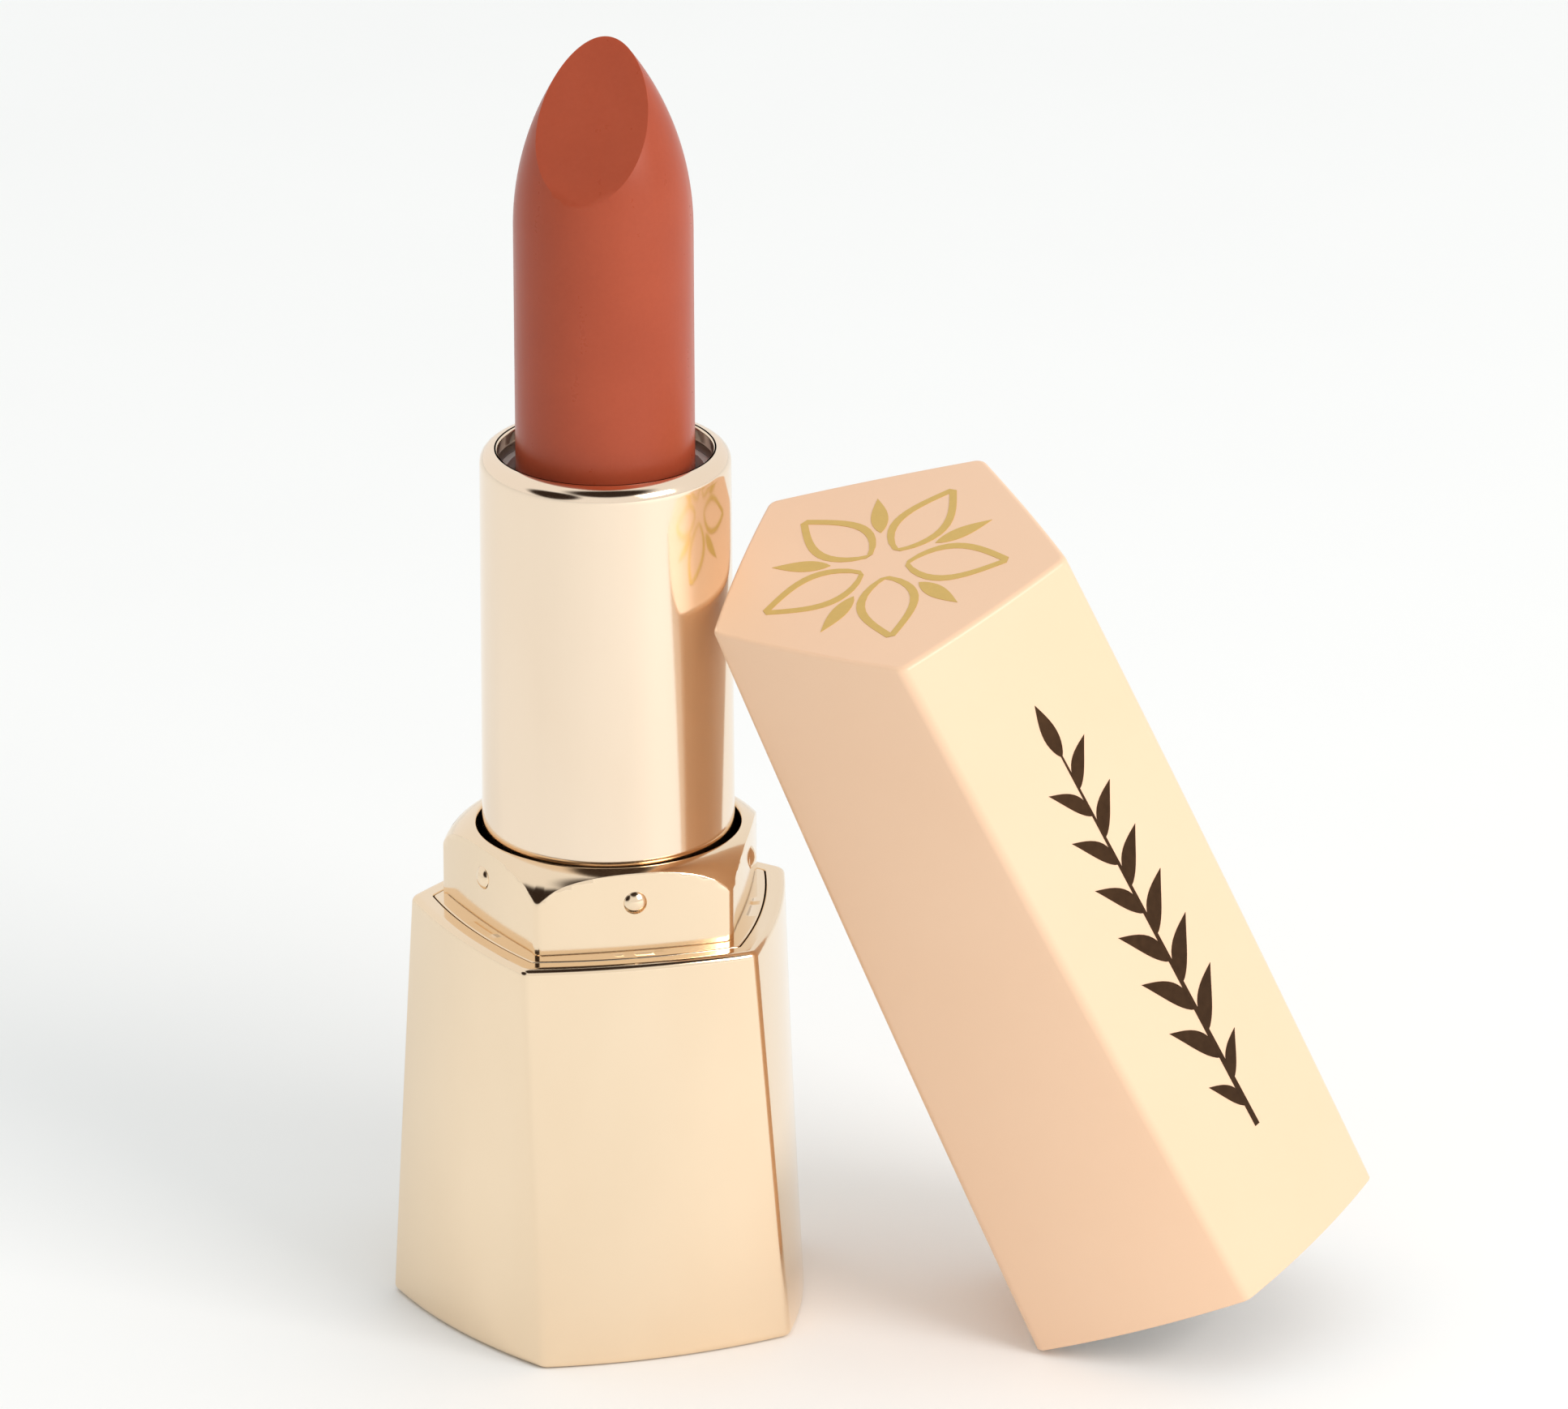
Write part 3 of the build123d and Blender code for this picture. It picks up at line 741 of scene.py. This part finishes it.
# %% Tube with its rolled rim
RIM_ROUNDING = 1.0 * MM
RIM_INNER_ROUNDING = 0.2 * MM
TUBE_FOOT_RADIUS = (tube_high.x - tube_low.x) / 2
under_lip = tube_high.z - LIP_THICKNESS
tube_points = softened([
    (TUBE_BORE_RADIUS, tube_low.z, 0.1 * MM), (TUBE_FOOT_RADIUS, tube_low.z, 0.1 * MM),
    (TUBE_TOP_RADIUS, tube_high.z, RIM_ROUNDING), (LIP_RADIUS, tube_high.z, RIM_INNER_ROUNDING),
    (LIP_RADIUS, under_lip, RIM_INNER_ROUNDING), (TUBE_BORE_RADIUS, under_lip, 0.1 * MM),
], closed=True)
tube = turned("drawn_tube_gold", tube_points, True, tube_gold)

# %% Stick with its slanted cut
stick_point = stick_low.z + STICK_LENGTH
nose_centre = STICK_RADIUS - NOSE_RADIUS
nose_height = sqrt(NOSE_RADIUS**2 - nose_centre**2)
nose_foot = stick_point - nose_height
side_points = [Vector((0, stick_low.z)), Vector((STICK_RADIUS * 0.5, stick_low.z)),
               Vector((STICK_RADIUS * 0.98, stick_low.z)), Vector((STICK_RADIUS, stick_low.z))]
side_points = spaced(side_points + [Vector((STICK_RADIUS, nose_foot))], 1.5 * MM)
nose_angle = asin(nose_height / NOSE_RADIUS)
NOSE_STEPS = 40
for step in range(1, NOSE_STEPS + 1):
    angle = nose_angle * step / NOSE_STEPS
    side_points.append(Vector((nose_centre + NOSE_RADIUS * cos(angle),
                               nose_foot + NOSE_RADIUS * sin(angle))))
stick = turned("terracotta_bullet", side_points, False, terracotta_stick)
facing = Vector((sin(CUT_TILT) * sin(CUT_TURN), -sin(CUT_TILT) * cos(CUT_TURN), cos(CUT_TILT)))
cut = bmesh.new()
cut.from_mesh(stick.data)
everything = cut.verts[:] + cut.edges[:] + cut.faces[:]
sliced = bmesh.ops.bisect_plane(cut, geom=everything, plane_co=(0, 0, stick_point - CUT_DROP),
                                plane_no=facing, clear_outer=True, dist=MERGE_DISTANCE)
rim = [part for part in sliced["geom_cut"] if isinstance(part, bmesh.types.BMEdge)]
bmesh.ops.holes_fill(cut, edges=rim)
bmesh.ops.recalc_face_normals(cut, faces=cut.faces)
cut.to_mesh(stick.data)
cut.free()
stick.data.shade_smooth()
edge = stick.modifiers.new("soft_cut_edge", "BEVEL")
edge.width = 0.16 * MM
edge.segments = 3
edge.angle_limit = radians(32)
edge.harden_normals = True

# %% [markdown]
# ## Snap bumps
#
# Five small bumps hold the cap on the neck, one in the middle of each face. One bump is turned as a
# shallow lens, and a Geometry Nodes tree repeats it round the axis.

# %% A tree that repeats a piece round the axis
def ring_of_copies():
    tree, make, given = new_geometry_tree("ring_of_copies", {
        "Count": "Int", "First Turn": "Float", "Material": "Material"})
    step = make.out("GeometryNodeInputIndex") * (2 * pi) / given["Count"]
    turn = make.joined(0.0, 0.0, step + given["First Turn"])
    points = make.out("GeometryNodePoints", None, {"Count": given["Count"]})
    copies = make.out("GeometryNodeInstanceOnPoints", None, {
        "Points": points, "Instance": given["Geometry"], "Rotation": turn})
    finish_geometry_tree(make, copies, given["Material"])
    return tree


ring_tree = ring_of_copies()

# %% The bumps on the neck
BUMP_SINK = 0.15 * MM
neck_face = NECK_RADIUS * cos(HALF_TURN) + NECK_BULGE
lens_radius = sqrt(BUMP_RADIUS**2 - (BUMP_RADIUS - BUMP_STANDOUT)**2)
lens_angle = asin(lens_radius / BUMP_RADIUS)
lens = [Vector((0, -BUMP_SINK)), Vector((lens_radius, -BUMP_SINK))]
LENS_STEPS = 9
for step in range(LENS_STEPS + 1):
    angle = lens_angle * (1 - step / LENS_STEPS)
    lens.append(Vector((BUMP_RADIUS * sin(angle),
                        BUMP_RADIUS * cos(angle) - BUMP_RADIUS + BUMP_STANDOUT)))
bump = turned("bump", lens, False, base_gold)
outwards = Matrix.Rotation(pi / 2, 4, "X")
bump.data.transform(Matrix.Translation((0, -neck_face, BUMP_HEIGHT)) @ outwards)
bumps = grown("snap_bumps_gold", bump.data, ring_tree, {
    "Count": SIDES, "First Turn": LEDGE_TURN + HALF_TURN, "Material": base_gold})
bpy.data.objects.remove(bump)

# %% [markdown]
# ## Foil ornaments
#
# The cap is decorated with hot-stamped foil: a slim sprig of leaves up its front face and a flower
# of five petals on its closed end. Both are plain patterns. A leaf is drawn flat as a thin plate;
# trees repeat it along a stem or round a middle point; then the sprig is bent on to the cap's
# bowed, twisted face with the same rule that shaped the cap.

# %% A leaf as a thin flat plate
FOIL_SINK = 0.02 * MM
FOIL_PROUD = 0.025 * MM
FOIL_STEP = 0.004 * MM
LEAF_STEPS = 12
LEAF_FULLNESS = 0.8     # below 1, a leaf is widest nearer its foot


def leaf_edge(length, width, lean=0.0):
    """Rows of (half width, distance along, sideways bend) for a leaf that points along +Y."""
    rows = []
    for step in range(LEAF_STEPS + 1):
        share = step / LEAF_STEPS
        half = width / 2 * sin(pi * share**LEAF_FULLNESS)
        rows.append((half, length * share, lean * sin(pi * share)))
    return rows


def plate(name, left, right):
    """A thin closed plate between two edges that run side by side."""
    shape = bmesh.new()
    layers = []
    for z in (-FOIL_SINK, FOIL_PROUD):
        layers.append([[shape.verts.new((x, y, z)) for x, y in edge] for edge in (left, right)])
    (low_left, low_right), (high_left, high_right) = layers
    for k in range(len(left) - 1):
        shape.faces.new((high_left[k], high_right[k], high_right[k + 1], high_left[k + 1]))
        shape.faces.new((low_left[k], low_left[k + 1], low_right[k + 1], low_right[k]))
        shape.faces.new((low_left[k], high_left[k], high_left[k + 1], low_left[k + 1]))
        shape.faces.new((low_right[k], low_right[k + 1], high_right[k + 1], high_right[k]))
    for k in (0, -1):
        shape.faces.new((low_left[k], low_right[k], high_right[k], high_left[k]))
    bmesh.ops.remove_doubles(shape, verts=shape.verts, dist=MERGE_DISTANCE)
    bmesh.ops.dissolve_degenerate(shape, edges=shape.edges, dist=MERGE_DISTANCE / 10)
    return kept(shape, name)


def layered(name, meshes):
    """The meshes in one, each a hair above the one before, so that no two faces coincide."""
    shape = bmesh.new()
    for layer, mesh in enumerate(meshes):
        lifted = mesh.copy()
        lifted.transform(Matrix.Translation((0, 0, layer * FOIL_STEP)))
        shape.from_mesh(lifted)
    whole = kept(shape, name)
    whole.shade_flat()
    return whole


def leaf_plate(name, length, width, lean):
    rows = leaf_edge(length, width, lean)
    return plate(name, [(bend - half, y) for half, y, bend in rows],
                 [(bend + half, y) for half, y, bend in rows])


# %% A tree that sets leaves in pairs along a stem
FIRST_PAIR = 0.4        # how far up the first pair stands, in steps between pairs
SPARE_STEPS = 0.6       # the stem is this many steps longer than it has pairs
STAGGER = 0.25          # one leaf of a pair stands about twice this share of a step higher


def leaves_along_a_stem():
    tree, make, given = new_geometry_tree("leaves_along_a_stem", {
        "Pairs": "Int", "Stem Length": "Float", "Leaf Angle": "Float", "Material": "Material"})
    index = make.out("GeometryNodeInputIndex")
    pair = (index / 2).math("FLOOR")
    side = (index - pair * 2) * 2 - 1
    share = (pair + FIRST_PAIR) / (given["Pairs"] + SPARE_STEPS)
    stagger = (side + 1) * STAGGER / given["Pairs"]
    place = make.joined(0.0, (share + stagger) * given["Stem Length"], 0.0)
    points = make.out("GeometryNodePoints", None, {
        "Count": given["Pairs"] * 2, "Position": place})
    turn = make.joined(0.0, 0.0, side * given["Leaf Angle"] * -1)
    towards_tip = share * (-0.40) + 1.05
    near_foot = (share * 2 + 0.55).math("MINIMUM", 1.0)
    size = towards_tip * near_foot
    scale = make.joined(side * size * -1, size, 1.0)
    leaves = make.out("GeometryNodeInstanceOnPoints", None, {
        "Points": points, "Instance": given["Geometry"], "Rotation": turn, "Scale": scale})
    finish_geometry_tree(make, leaves, given["Material"])
    return tree


SPRIG_LENGTH = 30.0 * MM
SPRIG_LOW = 9.5 * MM
LEAF_LENGTH = 5.4 * MM
LEAF_WIDTH = 1.5 * MM
LEAF_LEAN = 0.45 * MM
LEAF_ANGLE = radians(38)
PAIRS = 7
stem_tree = leaves_along_a_stem()
leaf = leaf_plate("leaf", LEAF_LENGTH, LEAF_WIDTH, LEAF_LEAN)
leaves = grown("leaves", leaf, stem_tree, {
    "Pairs": PAIRS, "Stem Length": SPRIG_LENGTH, "Leaf Angle": LEAF_ANGLE,
    "Material": bronze_foil})

# %% The stem, the leaf at its tip, and bending the sprig on to the cap
STEM_STEPS = 40
STEM_WIDTH = 0.42 * MM
STEM_LENGTH = SPRIG_LENGTH * 1.01       # it runs a little way into the leaf at its tip
TIP_LENGTH = 4.2 * MM
TIP_WIDTH = 1.2 * MM


def stem_plate():
    """A strip that gets thinner upwards."""
    rows = []
    for step in range(STEM_STEPS + 1):
        share = step / STEM_STEPS
        half = STEM_WIDTH / 2 * (1.1 - 0.75 * share)
        rows.append((half, STEM_LENGTH * share))
    return plate("stem", [(-half, y) for half, y in rows], [(half, y) for half, y in rows])


def on_cap_face(side, across, height, proud):
    """A point on one side of the upright cap, at a distance from the middle of that side."""
    up = height / CAP_HEIGHT
    bulge = between(LEDGE_BULGE, CAP_TOP_BULGE, up)
    radius = between(LEDGE_RADIUS, CAP_TOP_RADIUS, up)
    half_side = radius * sin(HALF_TURN)
    arc = (half_side**2 + bulge**2) / (2 * bulge)
    behind = arc - radius * cos(HALF_TURN) - bulge
    turn = between(CAP_MOUTH_TURN, CAP_TOP_TURN, up) + STEP_TURN * side + HALF_TURN
    out = sqrt((arc + proud)**2 - across**2) - behind
    return Vector((out * sin(turn) + across * cos(turn), across * sin(turn) - out * cos(turn),
                   height))


def foil_piece(name, meshes, material):
    mesh = layered(name, meshes)
    mesh.materials.append(material)
    return placed(name, mesh)


tip = leaf_plate("tip", TIP_LENGTH, TIP_WIDTH, 0.0)
tip.transform(Matrix.Translation((0, SPRIG_LENGTH, 0)))
sprig = foil_piece("foil_sprig_bronze", [leaves.data, stem_plate(), tip], bronze_foil)
bpy.data.objects.remove(leaves)
FRONT_SIDE = 0
for vertex in sprig.data.vertices:
    across, height, proud = vertex.co
    vertex.co = on_cap_face(FRONT_SIDE, across, height + SPRIG_LOW, proud)
sprig.data.transform(cap_place)

# %% The flower on the closed end
PETAL_LENGTH = 7.2 * MM
PETAL_WIDTH = 3.7 * MM
LINE_WIDTH = 0.60 * MM
PETAL_START = 1.6 * MM
SMALL_PETAL_LENGTH = 4.2 * MM
SMALL_PETAL_WIDTH = 1.2 * MM
SMALL_PETAL_START = 3.8 * MM


def petal_outline(name, length, width):
    """A petal drawn as a thin line: two bent strips that meet at both ends."""
    outer = leaf_edge(length, width)
    strips = []
    for side in (-1, 1):
        left = [(side * half - LINE_WIDTH / 2, y) for half, y, _ in outer]
        right = [(side * half + LINE_WIDTH / 2, y) for half, y, _ in outer]
        strips.append(plate(f"{name}_strip", left, right))
    mesh = layered(name, strips)
    mesh.transform(Matrix.Translation((0, PETAL_START, 0)))
    return mesh


large_petal = petal_outline("large_petal", PETAL_LENGTH, PETAL_WIDTH)
large = grown("large_petals", large_petal, ring_tree,
              {"Count": SIDES, "First Turn": 0.0, "Material": gold_foil})
small_petal = leaf_plate("small_petal", SMALL_PETAL_LENGTH, SMALL_PETAL_WIDTH, 0.0)
small_petal.transform(Matrix.Translation((0, SMALL_PETAL_START, 0)))
small = grown("small_petals", small_petal, ring_tree,
              {"Count": SIDES, "First Turn": HALF_TURN, "Material": gold_foil})
flower = foil_piece("foil_flower_gold", [large.data, small.data], gold_foil)
bpy.data.objects.remove(large)
bpy.data.objects.remove(small)
uphill_way = Vector((sin(CAP_UPHILL_TURN), -cos(CAP_UPHILL_TURN), 0))
end_slope = (uphill_way + Vector((0, 0, CAP_END_SLOPE))).normalized()
end_normal = (Vector((0, 0, 1)) - uphill_way * CAP_END_SLOPE).normalized()
end_across = end_slope.cross(end_normal)
end_place = Matrix((end_across, end_slope, end_normal)).transposed().to_4x4()
end_place.translation = (0, 0, CAP_HEIGHT)
flower.data.transform(cap_place @ end_place)

# %% [markdown]
# ## Which body each piece rides on
#
# Each new piece stands for an engineering piece and moves with the same body: the tube turns, the
# stick slides, and the cap tips about its resting edge.

# %% Ride and replace
PIECES = [
    (base, "base", ["base_shell"], "metallised_gold"),
    (neck, "base", ["neck_collar"], "metallised_gold"),
    (flange, "base", [], "metallised_gold"),
    (bumps, "base", [], "metallised_gold"),
    (tube, "shell", ["a_shell"], "tube_gold"),
    (stick, "carrier", ["bullet"], "stick_terracotta"),
    (cap, "cap", ["cap_shell"], "peach_satin"),
    (sprig, "cap", [], "tube_gold"),
    (flower, "cap", [], "tube_gold"),
]
for piece, body, stands_for, slot in PIECES:
    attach(piece, body)
    if stands_for:
        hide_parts(*stands_for)

# %% [markdown]
# ## Stage, light and camera
#
# The case stands on a plain white floor. Polished gold shows whatever is round it, so the studio
# matters as much as the metal: the floor gives the upright faces their cream colour, a broad soft
# light from the front right models the stick and throws the shadow to the left, and two dark
# patches of the room, one overhead and one to the front left, draw the thin brown lines on the
# rim, the shoulder and the ledge.

# %% Floor
FLOOR_HALF = 4.0
FLOOR_DROP = 0.05 * MM


def floor_finish():
    material, make, place = new_finish("white_floor")
    fleck = grain(make, place, 30, 3)
    return finished(material, make, {
        "Base Color": tinted(make, fleck, (0.94, 0.94, 0.94), (0.96, 0.96, 0.96)),
        "Roughness": fleck * 0.1 + 0.55,
        "Specular IOR Level": 0.2,
    })


floor_mesh = bpy.data.meshes.new("floor")
floor_corners = [(-FLOOR_HALF, -FLOOR_HALF, -FLOOR_DROP), (FLOOR_HALF, -FLOOR_HALF, -FLOOR_DROP),
                 (FLOOR_HALF, FLOOR_HALF, -FLOOR_DROP), (-FLOOR_HALF, FLOOR_HALF, -FLOOR_DROP)]
floor_mesh.from_pydata(floor_corners, [], [(0, 1, 2, 3)])
floor_mesh.materials.append(floor_finish())
floor = placed("floor", floor_mesh)


# %% The soft light
def softbox(name, place, target, size, power, colour):
    light = bpy.data.lights.new(name, "AREA")
    light.shape = "RECTANGLE"
    light.size, light.size_y = size
    light.energy = power
    light.color = colour
    lamp = placed(name, light)
    lamp.location = place
    lamp.rotation_euler = (Vector(target) - Vector(place)).to_track_quat("-Z", "Y").to_euler()


softbox("right_softbox", place=(0.66, -0.54, 0.50), target=(0.0, 0.0, 0.04), size=(0.50, 0.44),
        power=4.8, colour=(1.0, 0.945, 0.90))

# %% The room that the gold mirrors
DARK_PATCHES = [        # direction, then the cosines where a patch begins and where it is full
    ((0.05, -0.42, 0.90), 0.83, 0.94),
    ((-0.70, -0.58, 0.42), 0.88, 0.95),
]
FILL_STRENGTH = 0.87
FILL_SLANT = 0.16       # how much brighter the fill is from the right than from overhead


def studio_room():
    """Plain white to the camera, a slanted fill to dull surfaces, dark patches in mirrors."""
    world = bpy.data.worlds.new("studio_room")
    bpy.context.scene.world = world
    world.use_nodes = True
    world.node_tree.nodes.clear()
    make = Maker(world.node_tree)
    towards = make.out("ShaderNodeTexCoord", output="Generated")
    dark = 0.0
    for direction, edge, core in DARK_PATCHES:
        patch_middle = tuple(Vector(direction).normalized())
        facing = make.vector("DOT_PRODUCT", towards, patch_middle, output="Value")
        patch = make.out("ShaderNodeMapRange", {"interpolation_type": "SMOOTHSTEP"},
                         {"Value": facing, "From Min": edge, "From Max": core})
        dark = patch.math("MAXIMUM", dark)
    mirrored = tinted(make, dark, (0.93, 0.92, 0.91), (0.030, 0.018, 0.012))
    rays = make.node("ShaderNodeLightPath")
    glossy = Wire(make, rays.outputs["Is Glossy Ray"])
    camera_ray = Wire(make, rays.outputs["Is Camera Ray"])
    rightness, _, _ = make.parts(towards)
    fill = make.out("ShaderNodeBackground", None, {
        "Color": (0.965, 0.99, 0.985, 1), "Strength": rightness * FILL_SLANT + FILL_STRENGTH})
    seen = make.out("ShaderNodeBackground", None, {"Color": (1, 1, 1, 1), "Strength": 1.0})
    reflected = make.out("ShaderNodeBackground", None, {"Color": mirrored, "Strength": 1.0})
    lit = make.out("ShaderNodeMixShader", None, {0: glossy, 1: fill, 2: reflected})
    whole = make.out("ShaderNodeMixShader", None, {0: camera_ray, 1: lit, 2: seen})
    make.node("ShaderNodeOutputWorld", None, {0: whole})


studio_room()
bpy.context.scene.view_settings.view_transform = "Standard"

# %% Camera
CAMERA_DISTANCE = 1.2
CAMERA_ELEVATION = radians(21)
CAMERA_ROLL = radians(-0.3)
SENSOR_WIDTH = 36.0
LENS = 407.5
target = Vector((11.93 * MM, 0, 42.709 * MM))
back = Vector((0, -cos(CAMERA_ELEVATION), sin(CAMERA_ELEVATION)))
level_up = back.cross(Vector((1, 0, 0)))
camera_right = Vector((1, 0, 0)) * cos(CAMERA_ROLL) + level_up * sin(CAMERA_ROLL)
camera_up = back.cross(camera_right)
camera = placed("camera", bpy.data.cameras.new("camera"))
camera.data.sensor_width = SENSOR_WIDTH
camera.data.lens = LENS
camera.data.clip_start = 0.01
camera.data.clip_end = 50
camera_place = Matrix((camera_right, camera_up, back)).transposed().to_4x4()
camera_place.translation = target + back * CAMERA_DISTANCE
camera.matrix_world = camera_place
bpy.context.scene.camera = camera
print("camera at", [round(value, 3) for value in camera_place.translation])
